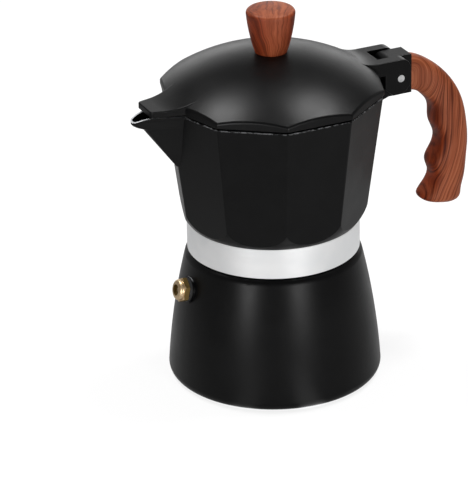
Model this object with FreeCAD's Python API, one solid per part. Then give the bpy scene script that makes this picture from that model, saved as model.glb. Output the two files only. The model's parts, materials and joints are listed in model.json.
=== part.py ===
"""Moka pot: a round boiler, a ten-sided collector with spout, lid and handle, and what they hold inside.

Millimetres. The origin is the centre of the base, +Z is up, +X points to the handle and -X to the spout.
"""
import FreeCAD, Part
import math
import os

V = FreeCAD.Vector
ORIGIN = V(0, 0, 0)
X_AXIS = V(1, 0, 0)
Y_AXIS = V(0, 1, 0)
Z_AXIS = V(0, 0, 1)
SPOUT_WARD = V(-1, 0, 0)

# Clearances
SEAT_GAP = 0.1            # flat faces that rest on each other and come apart
TURN_GAP = 0.4            # faces that swing past each other
FIT_GAP = 0.03            # pieces pressed or screwed together
RUNNING_FIT = 0.06        # a pin or plunger in its hole, on the radius

# Boiler
BOILER_RADIUS = 44.4      # widest point, just above the base edge
BOILER_HEIGHT = 56.3      # base to shoulder
BOILER_BASE_EDGE = 3.9    # rounding of the base edge
BOILER_TOP_RADIUS = 36.85    # where the side ends and the shoulder starts
BOILER_TOP_EDGE = 4.0     # rounding of the shoulder
BOILER_TOP_FALL = 2.9     # height of that rounding
BOILER_BULGE = 1.05       # how far the side swells beyond a straight cone
BOILER_WALL = 3.0
BOILER_FLOOR = 3.2
BOILER_INNER_EDGE = 5.0
NECK_HEIGHT = 9.7
NECK_WALL = 3.1
NECK_ROOF = 3.0           # height of the slope between side wall and neck

# Bright band and threaded collar
BAND_INSET = 1.1          # band sits this much inside the top of the boiler's side
BAND_WALL = 1.2
BAND_HEIGHT = 13.15
BAND_LIFT = 0.2           # open line between band and boiler
BAND_EDGE = 0.2
COLLAR_WALL = 1.9
THREAD_DEPTH = 1.0        # room for the screw thread between neck and collar

# Funnel
BASKET_CLEARANCE = 1.5
BASKET_WALL = 1.0
BASKET_DEPTH = 20.0       # flange to screen
FLANGE_THICKNESS = 1.0
FLANGE_INSET = 0.4
LEDGE_WIDTH = 1.2
CONE_HEIGHT = 7.0
SPIGOT_LENGTH = 5.0
STEM_RADIUS = 5.0
STEM_WALL = 0.8
STEM_FOOT_GAP = 3.0       # open gap under the stem where water enters
SCREEN_THICKNESS = 0.8

# Perforations of the screen and the filter plate
HOLE_RADIUS = 0.8
HOLE_PITCH = 6.0
HOLE_RINGS = 3

# Seal
GASKET_THICKNESS = 3.0
GASKET_SIDE_GAP = 0.5
GASKET_LIP = 0.8          # gasket bore stands this much inside the basket
PLATE_THICKNESS = 0.9
PLATE_RIM = 1.8           # width of plate rim held by the gasket

# Collector
SIDES = 10
COLLECTOR_HEIGHT = 54.45  # lip to rim
FOOT_OVERHANG = 2.8       # corner line at the lip stands out from the band
COLLECTOR_FLARE = 7.3     # corner line grows from lip to rim
COLLECTOR_EDGE = 1.4      # soft rounding of the corner lines
COLLECTOR_WALL = 2.6
RIM_BEVEL = 0.4           # outer edge of the rim
BELLY_HEIGHT = 7.6        # round foot that the facets fade into
BELLY_BULGE = 0.55
CHAMBER_INSET = 8.0       # width of the gasket seat
CHAMBER_DEPTH = 1.9
FLOOR_THICKNESS = 2.8
BOWL_EDGE = 6.0
COLUMN_HEIGHT = 38.0
COLUMN_FOOT_RADIUS = 7.4
COLUMN_SPIGOT = 6.4       # radius of the part pressed into the floor
COLUMN_TOP_RADIUS = 5.4
COLUMN_BORE = 3.8
COLUMN_CAP = 2.2
OUTLET_WIDTH = 4.6
OUTLET_HEIGHT = 4.2

# Spout
SPOUT_REACH = 16.8        # nose beyond the rim corner
SPOUT_KEEL_REACH = 11.65  # top of the keel beyond the rim corner
SPOUT_HALF_WIDTH = 8.6    # where the spout leaves the faces, at the rim
SPOUT_DEPTH = 24.4        # rim down to the root of the keel
SPOUT_ROOT_HALF_WIDTH = 1.0
SPOUT_ROOT_REACH = 0.7
SPOUT_ROOT_NOSE_RADIUS = 0.7
# The nose from the keel up: drop of each level below the rim, how far its sides aim beyond the keel, radius
SPOUT_LIP = ((5.2, 0.0, 2.5), (4.0, 0.8, 2.02), (3.1, 1.5, 2.11), (2.3, 2.0, 2.41), (1.3, 2.5, 2.98))
SPOUT_CREST = 0.6         # highest point of the spout's edges, above the rim
SPOUT_CREST_RUN = 8.5     # crest before the nose
SPOUT_DIP = 1.5           # the nose's edge lies below the rim
SPOUT_DIP_BOW = 0.5
SPOUT_WALL = 1.0
SPOUT_NARROWING = 0.6     # channel's half width, less than the outside's where it leaves the wall
SPOUT_CHANNEL_NOSE = 0.75    # channel's nose radius, as a share of the outside's

# Hinge
HINGE_REACH = 8.5         # pin axis beyond the rim corner
HINGE_DROP = 1.2          # pin axis below the rim
PIN_RADIUS = 1.55
LUG_INNER = 5.0           # half width of the slot between the lugs
LUG_WIDTH = 5.0
LUG_BREAK = 0.5           # rounding of the outer edges of lugs and hinge block
LUG_RADIUS = 8.2          # top of the lugs above the pin axis
LUG_END = 4.5             # end of the lugs beyond the pin axis
LUG_CORNER = 4.0
LUG_UNDER = 7.0           # bottom of the lugs below the pin axis
LUG_LOWER_CORNER = 5.6
LUG_HEEL = 3.6            # lower front corner of the lugs, before the pin axis
LUG_FRONT = 7.4           # upright front of the lugs, before the pin axis
LUG_FRONT_DROP = 3.4
SADDLE_BLEND = 16.0       # hollow curve from the saddle up into the dome
SADDLE_RUN = 20.0         # saddle reaches this far into the dome from the pin axis
SLOT_END = 8.4            # end of the slot before the pin axis
BLOCK_FRONT = 4.9         # upright front of the hinge block, before the pin axis
BLOCK_END = 7.6           # end face, where the handle starts, beyond the pin axis
BLOCK_TOP = 7.7           # above the pin axis
BLOCK_UNDER = 9.3         # below the pin axis
BLOCK_CORNER = 2.6
BLOCK_GUSSET = 3.0        # web under the block
BLOCK_SHELF_DROP = 1.2    # front shelf of the block, below the rim

# Lid
LID_LIFT = 1.0            # gap between rim and lid
LID_OVERHANG = 0.5
LID_HEIGHT = 17.0         # skirt's lower edge to the top of the dome
LID_DOME_DROP = 15.0      # dome falls this much out to the corners
LID_WALL = 2.2
LID_EDGE = 1.8            # rounding of the corner lines
LID_BREAK = 1.4           # rounding between dome and skirt
LID_LOWER_BREAK = 0.3     # rounding of the skirt's lower edge
TAB_REACH = 10.4          # spout tab beyond the lid corner
TAB_ROOT_HALF_WIDTH = 9.7
TAB_TIP_HALF_WIDTH = 6.5
TAB_LIFT = 0.7            # underside above the skirt's lower edge
TAB_THICKNESS = 2.4
TAB_BLEND = 24.0          # hollow curve from the tab up into the dome
TAB_BREAK = 0.5           # rounding of the upper edges
TAB_CORNER = 1.8

# Knob
KNOB_FOOT_RADIUS = 6.6
KNOB_RADIUS = 10.05
KNOB_HEIGHT = 18.7
KNOB_EDGE = 1.7
KNOB_CROWN = 0.4
KNOB_BULGE = 0.5
INSERT_RADIUS = 3.2
KNOB_INSERT_LENGTH = 10.0
KNOB_SCREW_RADIUS = 2.0
KNOB_SCREW_REACH = 9.0
KNOB_SCREW_HEAD_RADIUS = 3.8
KNOB_SCREW_HEAD = 2.4
KNOB_WASHER_RADIUS = 4.8
KNOB_WASHER_THICKNESS = 0.8

# Handle: stations run from the joint to the free end, measured from the joint's place at rim height.
# Each has its outer point, its inner point (X and Z), its half width and how square its section is.
HANDLE_STATIONS = (
    ((0.0, 5.0), (0.0, -10.5), 4.6, 1.00),
    ((4.4, 3.9), (3.4, -11.5), 4.7, 0.97),
    ((11.7, -0.4), (7.0, -14.4), 5.6, 0.92),
    ((18.7, -7.1), (9.9, -17.9), 6.5, 0.90),
    ((24.1, -16.1), (11.3, -22.3), 7.1, 0.89),
    ((26.5, -25.0), (11.7, -28.0), 7.4, 0.89),
    ((27.3, -32.0), (14.1, -34.4), 7.3, 0.89),
    ((27.5, -37.5), (12.7, -40.2), 7.4, 0.89),
    ((27.2, -43.0), (10.0, -45.4), 7.5, 0.89),
    ((26.7, -48.0), (11.4, -50.4), 7.4, 0.89),
    ((25.9, -53.5), (9.8, -55.7), 7.5, 0.89),
    ((24.8, -59.2), (6.5, -59.6), 7.5, 0.89),
    ((23.7, -62.9), (7.0, -61.7), 6.8, 0.88),
    ((21.2, -64.8), (9.9, -62.9), 4.2, 0.86),
)
STUD_RADIUS = 2.0
STUD_DROP = 5.3           # stud axis below the pin axis
STUD_DEPTH = 9.0          # in the hinge block
STUD_REACH = 9.0          # in the handle
HANDLE_INSERT_LENGTH = 11.0

# Safety valve, measured outward along its axis
VALVE_DROP = 12.9         # axis below the shoulder
VALVE_PAD = 0.6           # flat pad stands out from the side
VALVE_PAD_RADIUS = 5.5
VALVE_BOSS_LENGTH = 6.4
VALVE_THREAD_RADIUS = 4.0
VALVE_SHANK_LENGTH = 7.2
VALVE_HEX = 9.2           # across flats
VALVE_HEX_LENGTH = 2.2
VALVE_NOSE_LENGTH = 1.9
VALVE_NOSE_RADIUS = 4.4
VALVE_NOSE_EDGE = 1.6
VALVE_BORE = 2.3
VALVE_INLET = 1.3
VALVE_INLET_LENGTH = 2.0
VALVE_WASHER_THICKNESS = 1.2
VALVE_WASHER_RADIUS = 5.0
RETAINER_RECESS = 1.1
RETAINER_THICKNESS = 1.0
PLUNGER_HEAD_LENGTH = 1.6
PLUNGER_STEM_RADIUS = 0.9
SPRING_RADIUS = 1.65      # to the middle of the wire
SPRING_WIRE = 0.28        # wire radius
SPRING_TURNS = 4


# Levels, from the base up
shoulder_z = BOILER_HEIGHT
neck_top_z = shoulder_z + NECK_HEIGHT
flange_z = neck_top_z + SEAT_GAP
flange_top_z = flange_z + FLANGE_THICKNESS
screen_z = flange_top_z - BASKET_DEPTH
cone_z = screen_z - CONE_HEIGHT
gasket_z = flange_top_z + SEAT_GAP
gasket_top_z = gasket_z + GASKET_THICKNESS
seat_z = gasket_top_z + SEAT_GAP
chamber_z = seat_z + CHAMBER_DEPTH
floor_z = chamber_z + FLOOR_THICKNESS
column_top_z = floor_z + COLUMN_HEIGHT
band_z = shoulder_z + BAND_LIFT
lip_z = band_z + BAND_HEIGHT
rim_z = lip_z + COLLECTOR_HEIGHT
lid_z = rim_z + LID_LIFT
dome_top_z = lid_z + LID_HEIGHT

# Radii, from the band inward and outward
band_radius = BOILER_TOP_RADIUS - BAND_INSET
collar_radius = band_radius - BAND_WALL - FIT_GAP
collar_bore = collar_radius - COLLAR_WALL
neck_radius = collar_bore - THREAD_DEPTH
neck_bore = neck_radius - NECK_WALL
basket_radius = neck_bore - BASKET_CLEARANCE
basket_bore = basket_radius - BASKET_WALL
gasket_radius = collar_bore - GASKET_SIDE_GAP
gasket_bore = basket_bore - GASKET_LIP
plate_radius = gasket_bore + PLATE_RIM
foot_radius = band_radius + FOOT_OVERHANG
rim_radius = foot_radius + COLLECTOR_FLARE
lid_radius = rim_radius + LID_OVERHANG
flat_share = math.cos(math.pi / SIDES)
face_slope = math.tan(math.pi / SIDES)
wall_run = COLLECTOR_WALL / flat_share    # wall thickness measured along a corner

# Hinge and handle places
pin_x = rim_radius + HINGE_REACH
pin_z = rim_z - HINGE_DROP
lug_outer = LUG_INNER + LUG_WIDTH
block_half_width = LUG_INNER - TURN_GAP
block_end_x = pin_x + BLOCK_END
stud_z = pin_z - STUD_DROP

# Dome
dome_radius = (lid_radius ** 2 + LID_DOME_DROP ** 2) / (2 * LID_DOME_DROP)
dome_centre_z = dome_top_z - dome_radius


def at(x, z):
    """Point of the upright plane through the handle and the spout."""
    return V(x, 0, z)


def outline(start, *steps):
    """Flat face in the X-Z plane; a step is an end point, or a pair (through, end) for an arc."""
    edges = []
    here = start
    for step in steps + (start,):
        if isinstance(step[0], tuple):
            through, end = step
            edges.append(Part.Arc(at(*here), at(*through), at(*end)).toShape())
        else:
            end = step
            edges.append(Part.LineSegment(at(*here), at(*end)).toShape())
        here = end
    return Part.Face(Part.Wire(edges))


def turned(face):
    """Solid of revolution about the pot's axis."""
    return face.revolve(ORIGIN, Z_AXIS, 360)


def pulled(face, half_width):
    """Flat face of the X-Z plane pulled evenly to both sides."""
    moved = face.copy()
    moved.translate(V(0, -half_width, 0))
    return moved.extrude(V(0, 2 * half_width, 0))


def rounded(centre, radius, degrees):
    """Point on a corner rounding."""
    angle = math.radians(degrees)
    return (centre[0] + radius * math.cos(angle), centre[1] + radius * math.sin(angle))


def bowed(start, end, bulge):
    """Middle point of an arc that swells outward from the line between two points."""
    run = end[0] - start[0]
    rise = end[1] - start[1]
    length = math.hypot(run, rise)
    middle_x = (start[0] + end[0]) / 2 + bulge * rise / length
    middle_z = (start[1] + end[1]) / 2 - bulge * run / length
    return (middle_x, middle_z)


def round_bar(radius, low_z, high_z):
    """Upright cylinder on the pot's axis."""
    return Part.makeCylinder(radius, high_z - low_z, V(0, 0, low_z))


def tube(radius, bore, low_z, high_z):
    """Upright ring on the pot's axis."""
    return round_bar(radius, low_z, high_z).cut(round_bar(bore, low_z, high_z))


def polygon(radius, z, sides=SIDES):
    """Level polygon with one corner towards the handle."""
    corners = []
    for side in range(sides + 1):
        angle = 2 * math.pi * side / sides
        corners.append(V(radius * math.cos(angle), radius * math.sin(angle), z))
    return Part.makePolygon(corners)


def facetted(low_radius, low_z, high_radius, high_z, edge):
    """Ten-sided solid with softly rounded corner lines."""
    solid = Part.makeLoft([polygon(low_radius, low_z), polygon(high_radius, high_z)], True, True)
    rising = [line for line in solid.Edges if line.BoundBox.ZLength > (high_z - low_z) / 2]
    return solid.makeFillet(edge, rising) if edge else solid


def one(shape):
    """The single solid of a shape, with faces of one surface joined."""
    solids = shape.removeSplitter().Solids
    if len(solids) != 1:
        raise ValueError("expected one solid, found %d" % len(solids))
    return solids[0]


def corner_radius(z):
    """Distance of the collector's corner lines from the axis at one level."""
    return foot_radius + COLLECTOR_FLARE * (z - lip_z) / COLLECTOR_HEIGHT


# Boiler

side_low = (BOILER_RADIUS, BOILER_BASE_EDGE)
side_high = (BOILER_TOP_RADIUS, shoulder_z - BOILER_TOP_FALL)
side_middle = bowed(side_low, side_high, BOILER_BULGE)
side_arc = Part.Arc(at(*side_low), at(*side_middle), at(*side_high)).toShape().Curve
side_centre = side_arc.Center
side_radius = side_arc.Radius


def side_at(z, inset=0.0):
    """Point of the boiler's curved side, or of its inner face, at one level."""
    reach = math.sqrt((side_radius - inset) ** 2 - (z - side_centre.z) ** 2)
    return (side_centre.x + reach, z)


valve_z = shoulder_z - VALVE_DROP
valve_wall_x = side_at(valve_z)[0]
valve_tilt = math.degrees(math.asin((valve_z - side_centre.z) / side_radius))
pad_s = valve_wall_x + VALVE_PAD
hex_s = pad_s + VALVE_WASHER_THICKNESS
nose_s = hex_s + VALVE_HEX_LENGTH
tip_s = nose_s + VALVE_NOSE_LENGTH
shank_s = pad_s - VALVE_SHANK_LENGTH
valve_seat_s = shank_s + VALVE_INLET_LENGTH
retainer_top_s = tip_s - RETAINER_RECESS
retainer_s = retainer_top_s - RETAINER_THICKNESS
plunger_s = valve_seat_s + SEAT_GAP
plunger_back_s = plunger_s + PLUNGER_HEAD_LENGTH


def tilted(shape):
    """Level shape of the valve turned square to the boiler's side."""
    turn = shape.copy()
    turn.rotate(V(-valve_wall_x, 0, valve_z), Y_AXIS, valve_tilt)
    return turn


def valve_bar(radius, low_s, high_s):
    """Level cylinder of the valve between two distances from the pot's axis."""
    return Part.makeCylinder(radius, high_s - low_s, V(-low_s, 0, valve_z), SPOUT_WARD)


def boiler():
    """Hollow pot with a flat base, a swelling side and a neck for the screw thread."""
    base_centre = (BOILER_RADIUS - BOILER_BASE_EDGE, BOILER_BASE_EDGE)
    lean = math.asin((BOILER_TOP_EDGE - BOILER_TOP_FALL) / BOILER_TOP_EDGE)
    top_centre = (BOILER_TOP_RADIUS - BOILER_TOP_EDGE * math.cos(lean), shoulder_z - BOILER_TOP_EDGE)
    outer = turned(outline(
        (0, 0),
        (base_centre[0], 0),
        (rounded(base_centre, BOILER_BASE_EDGE, -45), side_low),
        (side_middle, side_high),
        (rounded(top_centre, BOILER_TOP_EDGE, 45), (top_centre[0], shoulder_z)),
        (neck_radius, shoulder_z),
        (neck_radius, neck_top_z),
        (0, neck_top_z),
    ))
    roof_z = shoulder_z - NECK_ROOF
    inner_low = side_at(BOILER_FLOOR + BOILER_INNER_EDGE, BOILER_WALL)
    inner_high = side_at(roof_z - NECK_ROOF, BOILER_WALL)
    inner_middle = side_at((inner_low[1] + inner_high[1]) / 2, BOILER_WALL)
    edge_centre = (inner_low[0] - BOILER_INNER_EDGE, inner_low[1])
    inner = turned(outline(
        (0, BOILER_FLOOR),
        (edge_centre[0], BOILER_FLOOR),
        (rounded(edge_centre, BOILER_INNER_EDGE, -45), inner_low),
        (inner_middle, inner_high),
        (neck_bore, roof_z),
        (neck_bore, neck_top_z),
        (0, neck_top_z),
    ))
    boss_s = pad_s - VALVE_BOSS_LENGTH
    pot = outer.cut(inner).fuse(tilted(valve_bar(VALVE_PAD_RADIUS, boss_s, pad_s)))
    return one(pot.cut(tilted(valve_bar(VALVE_THREAD_RADIUS + FIT_GAP, boss_s, pad_s))))


# Safety valve


def valve_body():
    """Brass body: threaded shank, bevelled hexagon, round nose and a bore for plunger and spring."""
    corner = VALVE_HEX / math.sqrt(3)
    hexagon = Part.Face(polygon(corner, 0, 6)).extrude(V(0, 0, VALVE_HEX_LENGTH))
    hexagon.rotate(ORIGIN, Y_AXIS, -90)
    hexagon.translate(V(-hex_s, 0, valve_z))
    bevel = Part.makeCone(
        VALVE_HEX / 2 + math.sqrt(3) * VALVE_HEX_LENGTH, VALVE_HEX / 2, VALVE_HEX_LENGTH,
        V(-hex_s, 0, valve_z), SPOUT_WARD)
    nose = valve_bar(VALVE_NOSE_RADIUS, nose_s, tip_s)
    front = [edge for edge in nose.Edges if edge.BoundBox.XMax < -(nose_s + tip_s) / 2]
    nose = nose.makeFillet(VALVE_NOSE_EDGE, front)
    body = hexagon.common(bevel).fuse([nose, valve_bar(VALVE_THREAD_RADIUS, shank_s, hex_s)])
    body = body.cut([valve_bar(VALVE_INLET, shank_s, tip_s), valve_bar(VALVE_BORE, valve_seat_s, tip_s)])
    return one(tilted(body))


def valve_washer():
    """Flat ring between the hexagon and the pad."""
    ring = valve_bar(VALVE_WASHER_RADIUS, pad_s, hex_s)
    return one(tilted(ring.cut(valve_bar(VALVE_THREAD_RADIUS + FIT_GAP, pad_s, hex_s))))


def valve_plunger():
    """Piston head on the seat, with a stem that runs out through the retainer."""
    head = valve_bar(VALVE_BORE - RUNNING_FIT, plunger_s, plunger_back_s)
    return one(tilted(head.fuse(valve_bar(PLUNGER_STEM_RADIUS, plunger_s, retainer_top_s))))


def valve_retainer():
    """Ring pressed into the mouth of the bore."""
    ring = valve_bar(VALVE_BORE - FIT_GAP, retainer_s, retainer_top_s)
    return one(tilted(ring.cut(valve_bar(PLUNGER_STEM_RADIUS + RUNNING_FIT, retainer_s, retainer_top_s))))


def valve_spring():
    """Wire coil between the plunger's head and the retainer."""
    length = retainer_s - plunger_back_s - 2 * (SPRING_WIRE + SEAT_GAP)
    coil = Part.makeHelix(length / SPRING_TURNS, length, SPRING_RADIUS)
    wire = Part.Wire(Part.makeCircle(SPRING_WIRE, V(SPRING_RADIUS, 0, 0), Y_AXIS))
    spring = Part.Wire(coil.Edges).makePipeShell([wire], True, True)
    spring.rotate(ORIGIN, Y_AXIS, -90)
    spring.translate(V(-(plunger_back_s + SPRING_WIRE + SEAT_GAP), 0, valve_z))
    return tilted(spring)


# Funnel


def perforations(low_z, high_z):
    """Round holes on a triangular grid, as many rings as named."""
    drills = []
    for row in range(-HOLE_RINGS, HOLE_RINGS + 1):
        for place in range(-HOLE_RINGS, HOLE_RINGS + 1):
            if abs(row + place) <= HOLE_RINGS:
                x = HOLE_PITCH * (place + row / 2)
                y = HOLE_PITCH * row * math.sqrt(3) / 2
                drills.append(Part.makeCylinder(HOLE_RADIUS, high_z - low_z, V(x, y, low_z)))
    return Part.makeCompound(drills)


def funnel_basket():
    """Coffee basket with a flange on the neck, a ledge for the screen, a cone and a spigot."""
    ledge_bore = basket_bore - LEDGE_WIDTH
    stem_hole = STEM_RADIUS + FIT_GAP
    throat = STEM_RADIUS - STEM_WALL
    spigot_radius = stem_hole + BASKET_WALL
    spigot_z = cone_z - SPIGOT_LENGTH
    return one(turned(outline(
        (basket_bore, flange_top_z),
        (neck_radius - FLANGE_INSET, flange_top_z),
        (neck_radius - FLANGE_INSET, flange_z),
        (basket_radius, flange_z),
        (basket_radius, screen_z - BASKET_WALL),
        (spigot_radius, cone_z - BASKET_WALL),
        (spigot_radius, spigot_z),
        (stem_hole, spigot_z),
        (stem_hole, cone_z),
        (throat, cone_z),
        (throat, cone_z + BASKET_WALL),
        (ledge_bore, screen_z - BASKET_WALL),
        (ledge_bore, screen_z),
        (basket_bore, screen_z),
    )))


def funnel_stem():
    """Tube pressed into the spigot, open just above the boiler's floor."""
    return one(tube(STEM_RADIUS, STEM_RADIUS - STEM_WALL, BOILER_FLOOR + STEM_FOOT_GAP, cone_z))


def basket_screen():
    """Perforated disc on the ledge of the basket."""
    disc = round_bar(basket_bore - FIT_GAP, screen_z, screen_z + SCREEN_THICKNESS)
    return one(disc.cut(perforations(screen_z, screen_z + SCREEN_THICKNESS)))


# Seal


def gasket():
    """Sealing ring with a step on its upper inner edge for the filter plate."""
    plate_z = gasket_top_z - PLATE_THICKNESS
    ring = tube(gasket_radius, gasket_bore, gasket_z, gasket_top_z)
    return one(ring.cut(round_bar(plate_radius + FIT_GAP, plate_z, gasket_top_z)))


def filter_plate():
    """Perforated disc whose rim sits in the gasket's step."""
    low_z = gasket_top_z - PLATE_THICKNESS
    return one(round_bar(plate_radius, low_z, gasket_top_z).cut(perforations(low_z, gasket_top_z)))


# Collector


def spout_section(z, corner_x, keel_x, half_width, keel_radius, nose_radius):
    """Level V outline from the ten-sided wall; its sides aim at the keel and its nose may be sharper."""
    root_x = corner_x - half_width * face_slope
    run = keel_x - keel_radius - root_x
    lean = math.atan2(half_width, run) - math.asin(keel_radius / math.hypot(run, half_width))
    centre_x = root_x + half_width / math.tan(lean) - nose_radius / math.sin(lean)
    back = V(-math.cos(lean), math.sin(lean), 0) * 2 * COLLECTOR_WALL
    heel = V(root_x, half_width, 0) + back
    touch = V(centre_x + nose_radius * math.sin(lean), nose_radius * math.cos(lean), 0)
    left_heel = V(-heel.x, heel.y, z)
    left_touch = V(-touch.x, touch.y, z)
    right_heel = V(-heel.x, -heel.y, z)
    right_touch = V(-touch.x, -touch.y, z)
    return Part.Wire([
        Part.LineSegment(left_heel, left_touch).toShape(),
        Part.Arc(left_touch, V(-centre_x - nose_radius, 0, z), right_touch).toShape(),
        Part.LineSegment(right_touch, right_heel).toShape(),
        Part.LineSegment(right_heel, left_heel).toShape(),
    ])


def spout_form(wall_back, narrowing, nose_back, nose_share):
    """Keeled spout from its root to above the rim, with a nose that juts out over the keel."""
    root_z = rim_z - SPOUT_DEPTH
    root_x = corner_radius(root_z) + SPOUT_ROOT_REACH
    lip_drop = SPOUT_LIP[0][0]
    lip_radius = SPOUT_LIP[0][2]
    root = (SPOUT_DEPTH, 0.0, SPOUT_ROOT_NOSE_RADIUS)
    top = (-2 * SPOUT_CREST,) + SPOUT_LIP[-1][1:]
    sections = []
    for drop, beyond, nose_radius in (root,) + SPOUT_LIP + (top,):
        z = rim_z - drop
        keel_share = (SPOUT_DEPTH - drop) / (SPOUT_DEPTH - lip_drop)
        keel_x = root_x + keel_share * (rim_radius + SPOUT_KEEL_REACH - root_x) + beyond - nose_back
        keel_radius = SPOUT_ROOT_NOSE_RADIUS + keel_share * (lip_radius - SPOUT_ROOT_NOSE_RADIUS)
        widening = (SPOUT_HALF_WIDTH - SPOUT_ROOT_HALF_WIDTH) * (SPOUT_DEPTH - drop) / SPOUT_DEPTH
        half_width = SPOUT_ROOT_HALF_WIDTH + widening - narrowing
        corner_x = corner_radius(z) - wall_back
        sections.append(spout_section(
            z, corner_x, keel_x, half_width, keel_radius * nose_share, nose_radius * nose_share))
    return Part.makeLoft(sections, True, True)


def spout_outside():
    """Outer form of the spout, its edges trimmed to a crest and a nose that dips."""
    form = spout_form(0, 0, 0, 1)
    high_z = rim_z + 4 * SPOUT_CREST
    inner_x = -(rim_radius - COLLECTOR_WALL)
    tip_x = -(rim_radius + SPOUT_REACH)
    crest = (tip_x + SPOUT_CREST_RUN, rim_z + SPOUT_CREST)
    nose = (tip_x, rim_z - SPOUT_DIP)
    above = outline(
        (0, rim_z),
        (inner_x, rim_z),
        crest,
        (bowed(nose, crest, -SPOUT_DIP_BOW), nose),
        (tip_x - SPOUT_REACH, nose[1]),
        (tip_x - SPOUT_REACH, high_z),
        (0, high_z),
    )
    return form.cut(pulled(above, 2 * SPOUT_HALF_WIDTH))


def spout_channel():
    """Hollow of the spout, open to the bowl and at the top."""
    return spout_form(wall_run, SPOUT_NARROWING, SPOUT_WALL, SPOUT_CHANNEL_NOSE)


def hinge_block():
    """Cast block behind the rim that carries the lid's pin and the handle."""
    wall_x = rim_radius - COLLECTOR_WALL
    front_x = pin_x - BLOCK_FRONT
    top_z = pin_z + BLOCK_TOP
    under_z = pin_z - BLOCK_UNDER
    shelf_z = rim_z - BLOCK_SHELF_DROP
    corner = (front_x + BLOCK_CORNER, top_z - BLOCK_CORNER)
    side = outline(
        (wall_x - BLOCK_GUSSET, under_z - BLOCK_GUSSET),
        (wall_x, under_z - BLOCK_GUSSET),
        (pin_x - BLOCK_GUSSET, under_z),
        (block_end_x, under_z),
        (block_end_x, top_z),
        (corner[0], top_z),
        (rounded(corner, BLOCK_CORNER, 135), (front_x, corner[1])),
        (front_x, shelf_z),
        (wall_x - BLOCK_GUSSET, shelf_z),
    )
    block = pulled(side, block_half_width)
    upper = [edge for edge in block.Edges if edge.BoundBox.XMin > front_x and edge.BoundBox.ZMin > rim_z]
    return block.makeFillet(LUG_BREAK, upper)


def collector_body():
    """Ten-sided upper pot with its spout, hinge block and threaded collar."""
    belly_z = lip_z + BELLY_HEIGHT
    belly_end = (corner_radius(belly_z), belly_z)
    belly_start = (band_radius, lip_z)
    beyond = rim_radius + SPOUT_REACH
    belly = turned(outline(
        (0, lip_z),
        belly_start,
        (bowed(belly_start, belly_end, BELLY_BULGE), belly_end),
        (beyond, rim_z),
        (0, rim_z),
    ))
    shell = facetted(foot_radius, lip_z, rim_radius, rim_z, COLLECTOR_EDGE).common(belly)
    rim = [edge for edge in shell.Edges if edge.BoundBox.ZMin > rim_z - RIM_BEVEL]
    shell = shell.makeChamfer(RIM_BEVEL, rim)
    shell = shell.fuse([
        spout_outside(),
        hinge_block(),
        round_bar(collar_radius, band_z, lip_z),
    ])
    over_z = pin_z + BLOCK_TOP
    bowl_centre = (corner_radius(floor_z) - wall_run - BOWL_EDGE, floor_z + BOWL_EDGE)
    bowl = turned(outline(
        (0, floor_z),
        (bowl_centre[0], floor_z),
        (rounded(bowl_centre, BOWL_EDGE, -45), (bowl_centre[0] + BOWL_EDGE, bowl_centre[1])),
        (beyond, over_z),
        (0, over_z),
    ))
    facets = facetted(
        corner_radius(floor_z) - wall_run, floor_z, corner_radius(over_z) - wall_run, over_z, COLLECTOR_EDGE)
    shell = shell.cut([facets.common(bowl), spout_channel()])
    pin_hole = Part.makeCylinder(PIN_RADIUS + FIT_GAP, 2 * lug_outer, V(pin_x, -lug_outer, pin_z), Y_AXIS)
    stud_hole = Part.makeCylinder(
        STUD_RADIUS + FIT_GAP, STUD_DEPTH, V(block_end_x - STUD_DEPTH, 0, stud_z), X_AXIS)
    return one(shell.cut([
        round_bar(collar_bore, band_z, seat_z),
        round_bar(collar_bore - CHAMBER_INSET, seat_z, chamber_z),
        round_bar(COLUMN_SPIGOT + FIT_GAP, chamber_z, floor_z),
        pin_hole,
        stud_hole,
    ]))


def coffee_column():
    """Tapered chimney with a rounded cap and two outlets, pressed into the collector's floor."""
    shoulder = (COLUMN_TOP_RADIUS - COLUMN_CAP, column_top_z - COLUMN_CAP)
    chimney = turned(outline(
        (COLUMN_BORE, chamber_z),
        (COLUMN_SPIGOT, chamber_z),
        (COLUMN_SPIGOT, floor_z),
        (COLUMN_FOOT_RADIUS, floor_z),
        (COLUMN_TOP_RADIUS, shoulder[1]),
        (rounded(shoulder, COLUMN_CAP, 45), (shoulder[0], column_top_z)),
        (0, column_top_z),
        (0, shoulder[1]),
        (COLUMN_BORE, shoulder[1]),
    ))
    outlet = Part.makeBox(
        OUTLET_WIDTH, 2 * COLUMN_FOOT_RADIUS, OUTLET_HEIGHT,
        V(-OUTLET_WIDTH / 2, -COLUMN_FOOT_RADIUS, shoulder[1] - OUTLET_HEIGHT))
    return one(chimney.cut(outlet))


def neck_band():
    """Bright sleeve round the threaded collar, with bevelled edges."""
    inner = collar_radius + FIT_GAP
    return one(turned(outline(
        (inner, band_z),
        (band_radius - BAND_EDGE, band_z),
        (band_radius, band_z + BAND_EDGE),
        (band_radius, lip_z - BAND_EDGE),
        (band_radius - BAND_EDGE, lip_z),
        (inner, lip_z),
    )))


def hinge_pin():
    """Steel pin through both lugs and the hinge block."""
    return Part.makeCylinder(PIN_RADIUS, 2 * lug_outer, V(pin_x, -lug_outer, pin_z), Y_AXIS)


# Lid


def dome_z(radius, inset=0.0):
    """Level of the dome, or of its underside, at one distance from the axis."""
    return dome_centre_z + math.sqrt((dome_radius - inset) ** 2 - radius ** 2)


knob_z = dome_z(KNOB_FOOT_RADIUS)
knob_top_z = knob_z + KNOB_HEIGHT
washer_top_z = dome_z(KNOB_WASHER_RADIUS, LID_WALL)
washer_z = washer_top_z - KNOB_WASHER_THICKNESS


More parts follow.
